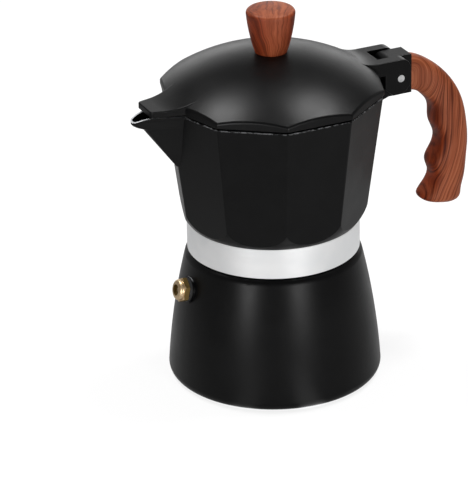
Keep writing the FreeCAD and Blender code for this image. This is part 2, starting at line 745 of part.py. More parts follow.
def dome_blend(level, radius, low_z, reach):
    """Ring with a level top that curves up smoothly into the dome."""
    lean = math.acos((level + radius - dome_centre_z) / (dome_radius + radius))
    centre = ((dome_radius + radius) * math.sin(lean), level + radius)
    middle = rounded(centre, radius, -90 - math.degrees(lean) / 2)
    end_x = dome_radius * math.sin(lean)
    return turned(outline(
        (end_x, low_z),
        (reach, low_z),
        (reach, level),
        (centre[0], level),
        (middle, (end_x, dome_z(end_x))),
    ))


def hinge_saddle():
    """The two lugs, still in one, and the saddle that flows from them into the dome."""
    inner_x = pin_x - SADDLE_RUN
    end_x = pin_x + LUG_END
    top_z = pin_z + LUG_RADIUS
    under_z = pin_z - LUG_UNDER
    upper = (end_x - LUG_CORNER, top_z - LUG_CORNER)
    lower = (end_x - LUG_LOWER_CORNER, under_z + LUG_LOWER_CORNER)
    side = outline(
        (inner_x, lid_z),
        (pin_x - LUG_FRONT, lid_z),
        (pin_x - LUG_FRONT, pin_z - LUG_FRONT_DROP),
        (pin_x - LUG_HEEL, under_z),
        (lower[0], under_z),
        (rounded(lower, LUG_LOWER_CORNER, -45), (end_x, lower[1])),
        (end_x, upper[1]),
        (rounded(upper, LUG_CORNER, 45), (upper[0], top_z)),
        (pin_x, top_z),
        (pin_x, dome_top_z),
        (inner_x, dome_top_z),
    )
    bar = pulled(side, lug_outer).common(dome_blend(top_z, SADDLE_BLEND, under_z, 2 * pin_x))
    outer = []
    for edge in bar.Edges:
        box = edge.BoundBox
        if box.YLength < LUG_BREAK and box.ZMax > pin_z and box.XMax > inner_x + LUG_RADIUS:
            outer.append(edge)
    return bar.makeFillet(LUG_BREAK, outer)


def spout_tab():
    """Tongue of the lid over the spout, with rounded tip corners and a top that flows into the dome."""
    root_x = -lid_radius * flat_share
    tip_x = -(lid_radius + TAB_REACH)
    widen = (TAB_ROOT_HALF_WIDTH - TAB_TIP_HALF_WIDTH) / (root_x - tip_x)
    heel_x = root_x + TAB_ROOT_HALF_WIDTH
    heel_half_width = TAB_ROOT_HALF_WIDTH + widen * TAB_ROOT_HALF_WIDTH
    low_z = lid_z + TAB_LIFT
    level = low_z + TAB_THICKNESS
    corners = [
        V(heel_x, heel_half_width, low_z),
        V(tip_x, TAB_TIP_HALF_WIDTH, low_z),
        V(tip_x, -TAB_TIP_HALF_WIDTH, low_z),
        V(heel_x, -heel_half_width, low_z),
    ]
    plate = Part.Face(Part.makePolygon(corners + corners[:1])).extrude(V(0, 0, dome_top_z - low_z))
    rising = [edge for edge in plate.Edges if edge.BoundBox.ZLength > TAB_THICKNESS]
    plate = plate.makeFillet(TAB_CORNER, [edge for edge in rising if edge.BoundBox.XMax < root_x])
    tongue = plate.common(dome_blend(level, TAB_BLEND, low_z, lid_radius + 2 * TAB_REACH))
    upper = []
    for edge in tongue.Edges:
        box = edge.BoundBox
        across = box.YMin < 0 < box.YMax and box.XMin > tip_x + TAB_CORNER
        if box.ZMin > low_z + TAB_BREAK and box.XMin < root_x and not across:
            upper.append(edge)
    return tongue.makeFillet(TAB_BREAK, upper)


def lid():
    """Domed ten-sided lid with a hollow underside, spout tab, saddle and hinge lugs."""
    centre = V(0, 0, dome_centre_z)
    prism = facetted(lid_radius, lid_z, lid_radius, dome_top_z, LID_EDGE)
    cover = prism.common(Part.makeSphere(dome_radius, centre))
    upper = [edge for edge in cover.Edges if edge.BoundBox.ZMin > lid_z + LID_BREAK]
    cover = cover.makeFillet(LID_BREAK, upper)
    lower = [edge for edge in cover.Edges if edge.BoundBox.ZMax < lid_z + LID_LOWER_BREAK]
    cover = cover.makeFillet(LID_LOWER_BREAK, lower)
    cover = cover.fuse([spout_tab(), hinge_saddle()])
    hollow_radius = lid_radius - LID_WALL / flat_share
    hollow = facetted(hollow_radius, lid_z - LID_WALL, hollow_radius, dome_top_z, LID_EDGE)
    hollow = hollow.common(Part.makeSphere(dome_radius - LID_WALL, centre))
    slot_low = pin_z - 2 * LUG_UNDER
    slot = Part.makeBox(
        SLOT_END + 2 * LUG_END, 2 * LUG_INNER, 4 * LUG_UNDER, V(pin_x - SLOT_END, -LUG_INNER, slot_low))
    pin_hole = Part.makeCylinder(
        PIN_RADIUS + RUNNING_FIT, 2 * lug_outer, V(pin_x, -lug_outer, pin_z), Y_AXIS)
    knob_seat = round_bar(KNOB_FOOT_RADIUS, knob_z, dome_top_z)
    screw_hole = round_bar(KNOB_SCREW_RADIUS + FIT_GAP, lid_z, dome_top_z)
    return one(cover.cut([hollow, slot, pin_hole, knob_seat, screw_hole]))


# Knob


def lid_knob():
    """Tapered grip that swells a little and has a soft upper edge."""
    foot = (KNOB_FOOT_RADIUS, knob_z)
    edge_z = knob_top_z - KNOB_CROWN - KNOB_EDGE
    edge_centre = (KNOB_RADIUS - KNOB_EDGE, edge_z)
    side_top = (KNOB_RADIUS, edge_z)
    crown_start = (edge_centre[0], edge_z + KNOB_EDGE)
    crown_radius = (crown_start[0] ** 2 + KNOB_CROWN ** 2) / (2 * KNOB_CROWN)
    crown_x = crown_start[0] / 2
    crown_middle = (crown_x, knob_top_z - crown_radius + math.sqrt(crown_radius ** 2 - crown_x ** 2))
    grip = turned(outline(
        (0, knob_z),
        foot,
        (bowed(foot, side_top, KNOB_BULGE), side_top),
        (rounded(edge_centre, KNOB_EDGE, 45), crown_start),
        (crown_middle, (0, knob_top_z)),
    ))
    return one(grip.cut(round_bar(INSERT_RADIUS + FIT_GAP, knob_z, knob_z + KNOB_INSERT_LENGTH)))


def knob_insert():
    """Threaded sleeve moulded into the knob."""
    return one(tube(INSERT_RADIUS, KNOB_SCREW_RADIUS + FIT_GAP, knob_z, knob_z + KNOB_INSERT_LENGTH))


def knob_screw():
    """Screw from inside the lid up into the knob."""
    head = round_bar(KNOB_SCREW_HEAD_RADIUS, washer_z - KNOB_SCREW_HEAD, washer_z)
    return one(head.fuse(round_bar(KNOB_SCREW_RADIUS, washer_z, knob_z + KNOB_SCREW_REACH)))


def knob_washer():
    """Washer between the screw's head and the lid."""
    return one(tube(KNOB_WASHER_RADIUS, KNOB_SCREW_RADIUS + FIT_GAP, washer_z, washer_top_z))


# Handle


def handle_ring(outer, inner, half_width, squareness):
    """Control points round one station; a squareness of 1 is nearly square, less is rounder."""
    middle = (at(*outer) + at(*inner)) / 2 + at(block_end_x, rim_z)
    along = (at(*outer) - at(*inner)) / 2
    across = Y_AXIS * half_width
    on_axis = (3 - squareness) / 2
    ring = ((on_axis, 0), (squareness, squareness), (0, on_axis), (-squareness, squareness),
            (-on_axis, 0), (-squareness, -squareness), (0, -on_axis), (squareness, -squareness))
    return [middle + along * u + across * v for u, v in ring]


def handle_grip():
    """Smooth closed skin through all the stations, with flat ends."""
    rings = [handle_ring(*station) for station in HANDLE_STATIONS]
    marks = [0.0]
    for (outer, inner, _, _), (next_outer, next_inner, _, _) in zip(HANDLE_STATIONS, HANDLE_STATIONS[1:]):
        marks.append(marks[-1] + (at(*next_outer) + at(*next_inner) - at(*outer) - at(*inner)).Length / 2)
    lines = []
    for place in range(len(rings[0])):
        line = Part.BSplineCurve()
        line.interpolate(Points=[ring[place] for ring in rings], Parameters=marks)
        lines.append(line)
    poles = [[line.getPole(index + 1) for line in lines] for index in range(lines[0].NbPoles)]
    around = [float(place) for place in range(len(lines) + 1)]
    surface = Part.BSplineSurface()
    surface.buildFromPolesMultsKnots(
        poles, lines[0].getMultiplicities(), [1] * len(around), lines[0].getKnots(), around,
        False, True, 3, 3)
    skin = surface.toShape()
    ends = [Part.Face(Part.Wire(edge)) for edge in skin.Edges if edge.isClosed()]
    shell = Part.Shell([skin] + ends)
    shell.sewShape()
    return Part.Solid(shell)


def handle():
    """Grip with finger grooves and a blind hole for the insert."""
    hole = Part.makeCylinder(
        INSERT_RADIUS + FIT_GAP, HANDLE_INSERT_LENGTH, V(block_end_x, 0, stud_z), X_AXIS)
    return one(handle_grip().cut(hole))


def handle_insert():
    """Threaded sleeve moulded into the handle."""
    sleeve = Part.makeCylinder(INSERT_RADIUS, HANDLE_INSERT_LENGTH, V(block_end_x, 0, stud_z), X_AXIS)
    bore = Part.makeCylinder(STUD_RADIUS + FIT_GAP, HANDLE_INSERT_LENGTH, V(block_end_x, 0, stud_z), X_AXIS)
    return one(sleeve.cut(bore))


def handle_stud():
    """Threaded stud that ties the handle to the hinge block."""
    return Part.makeCylinder(
        STUD_RADIUS, STUD_DEPTH + STUD_REACH, V(block_end_x - STUD_DEPTH, 0, stud_z), X_AXIS)


PIECES = (
    boiler, valve_body, valve_washer, valve_plunger, valve_retainer, valve_spring,
    funnel_basket, funnel_stem, basket_screen, gasket, filter_plate,
    collector_body, coffee_column, neck_band, hinge_pin, lid, lid_knob, knob_insert, knob_screw, knob_washer,
    handle, handle_insert, handle_stud,
)

os.makedirs("parts", exist_ok=True)
for piece in PIECES:
    shape = piece()
    if not shape.isValid():
        raise ValueError(piece.__name__ + " is not a valid solid")
    shape.exportStep("parts/" + piece.__name__ + ".step")
    print(piece.__name__, len(shape.Solids), round(shape.Volume, 1))
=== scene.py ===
import json
import math

import bpy
from mathutils import Matrix, Vector


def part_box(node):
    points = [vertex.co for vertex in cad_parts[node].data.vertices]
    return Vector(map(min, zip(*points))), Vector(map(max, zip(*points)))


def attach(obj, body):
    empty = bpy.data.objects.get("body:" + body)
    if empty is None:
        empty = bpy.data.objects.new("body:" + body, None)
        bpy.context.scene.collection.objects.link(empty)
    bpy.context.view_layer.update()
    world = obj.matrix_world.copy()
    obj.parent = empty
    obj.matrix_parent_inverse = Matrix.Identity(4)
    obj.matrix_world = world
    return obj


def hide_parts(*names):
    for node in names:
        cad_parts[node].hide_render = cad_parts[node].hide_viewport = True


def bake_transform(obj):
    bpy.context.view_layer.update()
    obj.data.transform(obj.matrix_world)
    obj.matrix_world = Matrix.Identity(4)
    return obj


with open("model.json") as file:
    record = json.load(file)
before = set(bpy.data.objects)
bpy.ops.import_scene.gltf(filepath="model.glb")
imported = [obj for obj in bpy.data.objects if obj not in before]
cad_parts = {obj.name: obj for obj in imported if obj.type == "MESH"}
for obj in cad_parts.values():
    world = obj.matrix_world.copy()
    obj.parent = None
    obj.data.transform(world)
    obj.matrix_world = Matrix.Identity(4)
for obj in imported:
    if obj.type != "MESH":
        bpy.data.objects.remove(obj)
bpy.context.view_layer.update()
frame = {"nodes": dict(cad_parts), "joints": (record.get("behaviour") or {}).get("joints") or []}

nodes = frame["nodes"]
joints = {joint["name"]: joint for joint in frame["joints"]}
valve_axis = Vector(joints["valve_release"]["axis"]).normalized()
scene = bpy.context.scene
scene.view_settings.view_transform = "Standard"

MM_PER_METRE = 1000.0
WHITE = (1.0, 1.0, 1.0, 1.0)


def srgb(red, green, blue):
    """A colour written in 0 to 255 display values, as linear light."""
    channels = []
    for value in (red, green, blue):
        share = value / 255
        channels.append(share / 12.92 if share <= 0.04045 else ((share + 0.055) / 1.055) ** 2.4)
    return (*channels, 1.0)


class Nodes:
    """A node tree and short ways to add to it."""

    # Places of the colour sockets on a mix node, which share their names with other sockets.
    MIX_FIRST = 6
    MIX_SECOND = 7
    MIX_RESULT = 2

    def __init__(self, tree):
        self.tree = tree
        self.tree.nodes.clear()
        self.coordinates = self.tree.nodes.new("ShaderNodeTexCoord").outputs

    def put(self, socket, value):
        """Link a socket to a node's output, or give it a fixed value."""
        if isinstance(value, bpy.types.NodeSocket):
            self.tree.links.new(value, socket)
        else:
            socket.default_value = value

    def node(self, kind, inputs=None, **settings):
        made = self.tree.nodes.new(kind)
        for key, value in settings.items():
            setattr(made, key, value)
        for key, value in (inputs or {}).items():
            self.put(made.inputs[key], value)
        return made

    def calc(self, operation, a, b=0.0):
        return self.node("ShaderNodeMath", {0: a, 1: b}, operation=operation).outputs[0]

    def plus(self, a, b):
        return self.calc("ADD", a, b)

    def minus(self, a, b):
        return self.calc("SUBTRACT", a, b)

    def times(self, a, b):
        return self.calc("MULTIPLY", a, b)

    def length(self, a, b):
        """The length of a line that reaches a one way and b square to it."""
        return self.calc("SQRT", self.plus(self.times(a, a), self.times(b, b)))

    def ramp(self, value, start, end, before=0.0, after=1.0):
        """A smooth step: before until value gets to start, after once it is at end."""
        made = self.node(
            "ShaderNodeMapRange",
            {0: value, 1: start, 2: end, 3: before, 4: after},
            interpolation_type="SMOOTHSTEP",
        )
        return made.outputs[0]

    def vector(self, x, y, z):
        return self.node("ShaderNodeCombineXYZ", {0: x, 1: y, 2: z}).outputs[0]

    def noise(self, where, scale, detail, rough):
        made = self.node(
            "ShaderNodeTexNoise",
            {"Vector": where, "Scale": scale, "Detail": detail, "Roughness": rough},
        )
        return made.outputs[0]

    def stretched(self, lengths, scales, detail, rough):
        """Noise over three lengths, each with a scale of its own."""
        scaled = [self.times(length, scale) for length, scale in zip(lengths, scales)]
        return self.noise(self.vector(*scaled), 1.0, detail, rough)

    def blend(self, share, a, b):
        """Colour a turning into colour b by a share."""
        made = self.node("ShaderNodeMix", {0: share}, data_type="RGBA")
        self.put(made.inputs[self.MIX_FIRST], a)
        self.put(made.inputs[self.MIX_SECOND], b)
        return made.outputs[self.MIX_RESULT]

    def shades(self, value, *stops):
        """A colour for each value, from stops that give a value and its colour."""
        made = self.node("ShaderNodeValToRGB", {0: value})
        elements = made.color_ramp.elements
        elements[0].position, elements[0].color = stops[0]
        elements[1].position, elements[1].color = stops[-1]
        for place, colour in stops[1:-1]:
            elements.new(place).color = colour
        return made.outputs[0]

    def looks(self):
        """Two shares: what the camera sees, and what a reflection or glass sees."""
        path = self.node("ShaderNodeLightPath").outputs
        return path["Is Camera Ray"], self.either(path["Is Glossy Ray"], path["Is Transmission Ray"])

    def either(self, *shares):
        result = shares[0]
        for share in shares[1:]:
            result = self.calc("MAXIMUM", result, share)
        return result

    def both(self, *shares):
        result = shares[0]
        for share in shares[1:]:
            result = self.calc("MINIMUM", result, share)
        return result


class Finish(Nodes):
    """A material with its place in metres and its normal at hand."""

    LEAST_RADIUS = 0.0005

    def __init__(self, name):
        self.material = bpy.data.materials.new(name)
        self.material.use_nodes = True
        super().__init__(self.material.node_tree)
        self.output = self.node("ShaderNodeOutputMaterial")
        self.place = self.coordinates["Object"]
        self.x, self.y, self.z = self.node("ShaderNodeSeparateXYZ", {0: self.place}).outputs
        normal = self.coordinates["Normal"]
        self.nx, self.ny, self.nz = self.node("ShaderNodeSeparateXYZ", {0: normal}).outputs

    def bump(self, height, strength, distance):
        made = self.node("ShaderNodeBump", {"Height": height, "Strength": strength, "Distance": distance})
        return made.outputs[0]

    def surface(self, **inputs):
        shader = self.node("ShaderNodeBsdfPrincipled")
        for key, value in inputs.items():
            self.put(shader.inputs[key.replace("_", " ")], value)
        self.put(self.output.inputs[0], shader.outputs[0])
        return self.material

    def in_mm(self, length):
        return self.times(length, MM_PER_METRE)

    def radius(self):
        return self.length(self.x, self.y)

    def turned(self):
        """A place that is the same all round the pot's axis, for marks left by turning."""
        return self.vector(self.radius(), self.z, 0.0)

    def outward(self):
        """How far a face looks away from the pot's axis: 1 straight out, -1 straight in."""
        reach = self.plus(self.times(self.x, self.nx), self.times(self.y, self.ny))
        return self.calc("DIVIDE", reach, self.calc("MAXIMUM", self.radius(), self.LEAST_RADIUS))


# A pair of numbers gives where a step starts and where it is full.
# Heights, radii and reaches are in metres here, and names with FACES are parts of a face's normal.
WALL_FACES_IN = (-0.1, -0.3)
FLOOR_FACES_UP = (0.5, 0.7)
FLOOR_HEIGHT = (0.04, 0.035)
NECK_HEIGHT = (0.0566, 0.0568)
NECK_RADIUS = (0.0342, 0.0338)
BASE_FACES_DOWN = (-0.7, -0.9)
BASE_HEIGHT = (0.003, 0.002)
BOWL_REACH = (0.0485, 0.047)
COLLAR_RADIUS = (0.0345, 0.034)
SPOUT_REACH = (-0.0415, -0.0425)
SPOUT_FACES_UP = (0.75, 0.85)
SPOUT_HEIGHT = (0.1215, 0.1220)
BEVEL_HEIGHT = (0.12362, 0.12370)
BEVEL_FACES_UP = (0.3, 0.5)
BEVEL_FACES_ASIDE = (0.98, 0.9)
BEVEL_RADIUS = (0.0475, 0.047)
LID_FACES_DOWN = (-0.25, -0.4)
LID_HEIGHT = (0.1257, 0.1259)
LID_FACES_IN = (-0.25, -0.45)
LID_RADIUS = (0.0458, 0.0454)
# A noise runs from 0 to 1 and is mostly near its middle, so steps in a noise lie there.
NOISE_MIDDLE = (0.3, 0.7)
CHIP_STEP = (0.40, 0.62)
MOST_WORN = 0.28


def boiler_bare(f):
    """Bare metal inside the boiler, on its neck and under its base."""
    wall = f.ramp(f.outward(), *WALL_FACES_IN)
    floor = f.both(f.ramp(f.nz, *FLOOR_FACES_UP), f.ramp(f.z, *FLOOR_HEIGHT))
    neck = f.both(f.ramp(f.z, *NECK_HEIGHT), f.ramp(f.radius(), *NECK_RADIUS))
    base = f.both(f.ramp(f.nz, *BASE_FACES_DOWN), f.ramp(f.z, *BASE_HEIGHT))
    return f.either(wall, floor, neck, base)


def collector_bare(f):
    """Bare metal in the collector's bowl, collar and spout, and where the bevel of its rim is worn."""
    reach = f.ramp(f.calc("ABSOLUTE", f.x), *BOWL_REACH)
    bowl = f.both(f.ramp(f.outward(), *WALL_FACES_IN), reach)
    collar = f.ramp(f.radius(), *COLLAR_RADIUS)
    spout = f.both(f.ramp(f.x, *SPOUT_REACH), f.ramp(f.nz, *SPOUT_FACES_UP), f.ramp(f.z, *SPOUT_HEIGHT))
    slope = f.both(f.ramp(f.nz, *BEVEL_FACES_UP), f.ramp(f.nz, *BEVEL_FACES_ASIDE))
    bevel = f.both(f.ramp(f.z, *BEVEL_HEIGHT), slope, f.ramp(f.radius(), *BEVEL_RADIUS))
    chips = f.noise(f.place, scale=900.0, detail=2.0, rough=0.7)
    worn = f.ramp(chips, *CHIP_STEP, after=MOST_WORN)
    return f.either(bowl, collar, spout, f.both(bevel, worn))


def lid_bare(f):
    """Bare metal inside the lid, above the bevel of its lower edge."""
    below = f.both(f.ramp(f.nz, *LID_FACES_DOWN), f.ramp(f.z, *LID_HEIGHT))
    wall = f.ramp(f.outward(), *LID_FACES_IN)
    return f.both(f.either(below, wall), f.ramp(f.radius(), *LID_RADIUS))


PAINT_DARK = (0.0008, 0.0008, 0.0009, 1.0)
PAINT_LIGHT = (0.0018, 0.0018, 0.0019, 1.0)
CAST_DARK = srgb(176, 178, 181)
CAST_LIGHT = srgb(208, 209, 211)
MOTTLE_STEP = (0.25, 0.75)
PEEL_SHARE = 0.7
GRIT_SHARE = 0.3
GRIT_ROUGHNESS = 0.05
BARE_METALLIC = 0.9


def black_paint(name, bare_where):
    """Satin black paint with a fine grit, over cast metal that shows where it is bare."""
    f = Finish(name)
    bare = bare_where(f)
    mottle = f.noise(f.place, scale=90.0, detail=4.0, rough=0.6)
    grit = f.noise(f.place, scale=1500.0, detail=2.0, rough=0.6)
    peel = f.noise(f.place, scale=620.0, detail=2.0, rough=0.5)
    rings = f.noise(f.turned(), scale=2600.0, detail=2.0, rough=0.6)
    paint = f.blend(mottle, PAINT_DARK, PAINT_LIGHT)
    metal = f.blend(rings, CAST_DARK, CAST_LIGHT)
    paint_rough = f.ramp(mottle, *MOTTLE_STEP, before=0.29, after=0.34)
    paint_rough = f.plus(paint_rough, f.times(grit, GRIT_ROUGHNESS))
    metal_rough = f.ramp(rings, *NOISE_MIDDLE, before=0.38, after=0.50)
    rough = f.plus(f.times(paint_rough, f.minus(1.0, bare)), f.times(metal_rough, bare))
    height = f.plus(f.times(peel, PEEL_SHARE), f.times(grit, GRIT_SHARE))
    return f.surface(
        Base_Color=f.blend(bare, paint, metal),
        Metallic=f.times(bare, BARE_METALLIC),
        Roughness=rough,
        Specular_IOR_Level=0.12,
        Normal=f.bump(height, strength=0.12, distance=0.0002),
    )


ALUMINIUM_DARK = srgb(234, 235, 236)
ALUMINIUM_LIGHT = srgb(243, 243, 243)
LINE_ROUGHNESS = 0.05


def bare_aluminium():
    """Bright aluminium with fine lines from turning and a faint smear."""
    f = Finish("bare_aluminium_finish")
    lines = f.noise(f.turned(), scale=5200.0, detail=3.0, rough=0.7)
    bands = f.noise(f.turned(), scale=700.0, detail=2.0, rough=0.5)
    smear = f.noise(f.place, scale=60.0, detail=3.0, rough=0.5)
    tangent = f.node("ShaderNodeTangent", direction_type="RADIAL", axis="Z").outputs[0]
    rough = f.ramp(bands, *NOISE_MIDDLE, before=0.31, after=0.35)
    return f.surface(
        Base_Color=f.blend(f.ramp(smear, *NOISE_MIDDLE), ALUMINIUM_DARK, ALUMINIUM_LIGHT),
        Metallic=0.95,
        Roughness=f.plus(rough, f.times(lines, LINE_ROUGHNESS)),
        Anisotropic=0.35,
        Tangent=tangent,
        Normal=f.bump(lines, strength=0.05, distance=0.0001),
    )


# Scales of the wood's lines across, aside and along the grain, each for one millimetre.
DRIFT_SCALES = (0.12, 0.06, 0.03)
BROAD_SCALES = (0.30, 0.05, 0.012)
FINE_SCALES = (1.35, 0.20, 0.022)
PORE_SCALES = (4.5, 1.5, 0.16)
# How far the lines drift and how wide a ring is, in millimetres.
DRIFT_REACH = 4.0
RING_WIDTH = 1.7
# Where each kind of line starts and is full, and its share of the tone.
BROAD_STEP = (0.34, 0.66)
FINE_STEP = (0.36, 0.64)
RING_STEP = (1.0, 0.0)
PORE_STEP = (0.58, 0.78)
SHINE_STEP = (0.2, 0.8)
BROAD_SHARE = 0.28
FINE_SHARE = 0.48
RING_SHARE = 0.24
MOST_PORES = 0.45
WOOD_STOPS = ((0.05, srgb(62, 22, 9)), (0.45, srgb(112, 55, 31)), (0.95, srgb(140, 80, 53)))
# The darker colours, for darker print and for painted shade.
DARK_PRINT_AND_SHADE_STOPS = ((0.05, srgb(54, 14, 3)), (0.95, srgb(120, 46, 17)))
PORE_COLOUR = srgb(66, 24, 10)


def wood(name, grain, print_and_shade, gloss):
    """A print of reddish wood.

    The grain gives lengths across, aside and along in millimetres, and print_and_shade gives the share of the
    darker colours: darker print, and painted shade.
    """
    f = Finish(name)
    across, aside, along = grain(f)
    drift = f.stretched((across, aside, along), DRIFT_SCALES, detail=2.0, rough=0.5)
    warped = f.plus(across, f.times(drift, DRIFT_REACH))
    lengths = (warped, aside, along)
    broad = f.stretched(lengths, BROAD_SCALES, detail=2.0, rough=0.5)
    fine = f.stretched(lengths, FINE_SCALES, detail=3.0, rough=0.65)
    pores = f.stretched(lengths, PORE_SCALES, detail=2.0, rough=0.6)
    rings = f.calc("SINE", f.times(warped, 2 * math.pi / RING_WIDTH))
    broad_tone = f.times(f.ramp(broad, *BROAD_STEP), BROAD_SHARE)
    fine_tone = f.times(f.ramp(fine, *FINE_STEP), FINE_SHARE)
    ring_tone = f.ramp(rings, *RING_STEP, after=RING_SHARE)
    tone = f.plus(f.plus(broad_tone, fine_tone), ring_tone)
    streaks = f.ramp(pores, *PORE_STEP, after=MOST_PORES)
    print_and_shade_colour = f.blend(print_and_shade(f), f.shades(tone, *WOOD_STOPS), f.shades(tone, *DARK_PRINT_AND_SHADE_STOPS))
    return f.surface(
        Base_Color=f.blend(streaks, print_and_shade_colour, PORE_COLOUR),
        Roughness=f.ramp(fine, *SHINE_STEP, before=0.44, after=0.56),
        Specular_IOR_Level=gloss,
        Normal=f.bump(f.minus(fine, streaks), strength=0.10, distance=0.0002),
    )


# The handle's lines lean below this height, with a soft start, both in millimetres.
LEAN_HEIGHT = 86.0
LEAN_SOFTNESS = 5.0
LEAN_SLOPE = 0.2
# The eye at the joint in millimetres: its middle, half its width and height, and how far it bends the lines.
EYE_X = 66.0
EYE_Z = 119.5
EYE_HALF_X = 8.5
EYE_HALF_Z = 9.0
EYE_REACH = 11.0
# The finger side, which faces the pot, darker from print and painted shade, with its height in metres.
FINGER_SHADE_FACES = (-0.30, -0.95)
FINGER_SHADE_HEIGHT = (0.112, 0.104)


def eye(f):
    """A share with an even middle and a soft edge about the eye in the handle's upright plane."""
    side = f.calc("DIVIDE", f.minus(f.in_mm(f.x), EYE_X), EYE_HALF_X)
    rise = f.calc("DIVIDE", f.minus(f.in_mm(f.z), EYE_Z), EYE_HALF_Z)
    away = f.plus(f.times(side, side), f.times(rise, rise))
    return f.calc("EXPONENT", f.times(f.times(away, away), -1.0))


def handle_grain(f):
    """Lines run down the grip, lean inward at its end and loop round an eye at the joint."""
    below = f.minus(LEAN_HEIGHT, f.in_mm(f.z))
    lean = f.plus(below, f.length(below, LEAN_SOFTNESS))
    across = f.plus(f.in_mm(f.x), f.times(lean, LEAN_SLOPE))
    return f.minus(across, f.times(eye(f), EYE_REACH)), f.in_mm(f.y), f.in_mm(f.z)


def handle_print_and_shade(f):
    """The finger side that faces the pot is darker: partly print, partly painted shade."""
    return f.both(f.ramp(f.nx, *FINGER_SHADE_FACES), f.ramp(f.z, *FINGER_SHADE_HEIGHT))


# The knob's front is turned from the pot's side by an angle with this cosine and sine.
FRONT_COSINE = 0.905
FRONT_SINE = 0.425
# Where the fan of lines starts, and how far it and its swirl spread the lines, in millimetres.
FAN_HEIGHT = 131.0
FAN_ASIDE = 1.5
FAN_REACH = 20.0
SWIRL_REACH = 5.0
# Painted light and shade on the knob: the lighter front's middle and edge in millimetres aside, then the
# darker foot in metres, and the darker sides.
LIT_FRONT_ASIDE = 2.0
LIT_FRONT_EDGE = (1.0, 8.0)
SHADED_FOOT_HEIGHT = (0.150, 0.138)
SHADED_SIDE_FACES = (0.8, 0.4)


def knob_aside(f):
    """Millimetres to the right of the pot's axis, seen from the knob's front."""
    return f.in_mm(f.minus(f.times(f.x, FRONT_COSINE), f.times(f.y, FRONT_SINE)))


def knob_grain(f):
    """Lines fan up and out from a place below the knob's front."""
    depth = f.in_mm(f.plus(f.times(f.x, FRONT_SINE), f.times(f.y, FRONT_COSINE)))
    rise = f.minus(f.in_mm(f.z), FAN_HEIGHT)
    fan = f.calc("ARCTAN2", f.minus(knob_aside(f), FAN_ASIDE), rise)
    swirl = f.noise(f.place, scale=90.0, detail=2.0, rough=0.5)
    return f.plus(f.times(fan, FAN_REACH), f.times(swirl, SWIRL_REACH)), depth, rise


def knob_painted_light_and_shade(f):
    """Painted light and shade: the front and the top are lighter, the sides and the foot darker."""
    aside = f.calc("ABSOLUTE", f.minus(knob_aside(f), LIT_FRONT_ASIDE))
    edge = f.ramp(aside, *LIT_FRONT_EDGE, before=0.45)
    foot = f.ramp(f.z, *SHADED_FOOT_HEIGHT, after=0.8)
    sides = f.ramp(f.nz, *SHADED_SIDE_FACES, before=0.35)
    return f.times(f.either(edge, foot), sides)


# The plain metals, and the valve's places of painted shade, darker and more matt, by their radius in metres
# and by their faces.
METAL_GRAIN = 2400.0
METAL_SPREAD = 0.08
GRAIN_ROUGHNESS = 0.05
VALVE_SHADE_COLOUR = srgb(108, 89, 52)
DULL_ROUGHNESS = 0.2
VALVE_BORE_RADIUS = (0.00240, 0.00232)
VALVE_FLAT_RADIUS = (0.00445, 0.00455)
VALVE_FLAT_FACES = (0.35, 0.15)


def valve_painted_shade(f):
    """Painted shade in the safety valve's bore and a painted dark reflection on its hexagon's flats, by their
    distance from the valve's axis.
    """
    low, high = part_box("valve_retainer")
    middle = (low + high) / 2
    across = f.times(f.minus(f.x, middle.x), valve_axis.z)
    rise = f.minus(across, f.times(f.minus(f.z, middle.z), valve_axis.x))
    away = f.length(rise, f.y)
    lengthwise = f.plus(f.times(f.nx, valve_axis.x), f.times(f.nz, valve_axis.z))
    faces = f.ramp(f.calc("ABSOLUTE", lengthwise), *VALVE_FLAT_FACES)
    flats = f.both(f.ramp(away, *VALVE_FLAT_RADIUS), faces)
    return f.either(f.ramp(away, *VALVE_BORE_RADIUS), flats)


def plain_metal(name, low, high, rough, painted_shade=None):
    """Metal with a fine grain; painted_shade gives the share of it that is painted dark, as shade, and made
    more matt.
    """
    f = Finish(name)
    smear = f.noise(f.place, scale=420.0, detail=3.0, rough=0.6)
    fine = f.noise(f.place, scale=METAL_GRAIN, detail=2.0, rough=0.6)
    colour = f.blend(f.ramp(smear, *NOISE_MIDDLE), low, high)
    spread = f.ramp(smear, *NOISE_MIDDLE, before=rough, after=rough + METAL_SPREAD)
    spread = f.plus(spread, f.times(fine, GRAIN_ROUGHNESS))
    # Painted shade and painted dark reflection: a darker colour, and more roughness.
    if painted_shade is not None:
        share = painted_shade(f)
        colour = f.blend(share, colour, VALVE_SHADE_COLOUR)
        spread = f.plus(spread, f.times(share, DULL_ROUGHNESS))
    return f.surface(
        Base_Color=colour,
        Metallic=1.0,
        Roughness=spread,
        Normal=f.bump(fine, strength=0.08, distance=0.0001),
    )


SEAL_GRAIN_ROUGHNESS = 0.1


def soft_seal(name, low, high, rough):
    """Rubber with faint clouds and a fine, matt skin."""
    f = Finish(name)
    cloud = f.noise(f.place, scale=120.0, detail=3.0, rough=0.5)
    fine = f.noise(f.place, scale=1800.0, detail=2.0, rough=0.5)
    return f.surface(
        Base_Color=f.blend(cloud, low, high),
        Roughness=f.plus(rough, f.times(fine, SEAL_GRAIN_ROUGHNESS)),
        Specular_IOR_Level=0.4,
        Normal=f.bump(fine, strength=0.1, distance=0.0002),
    )


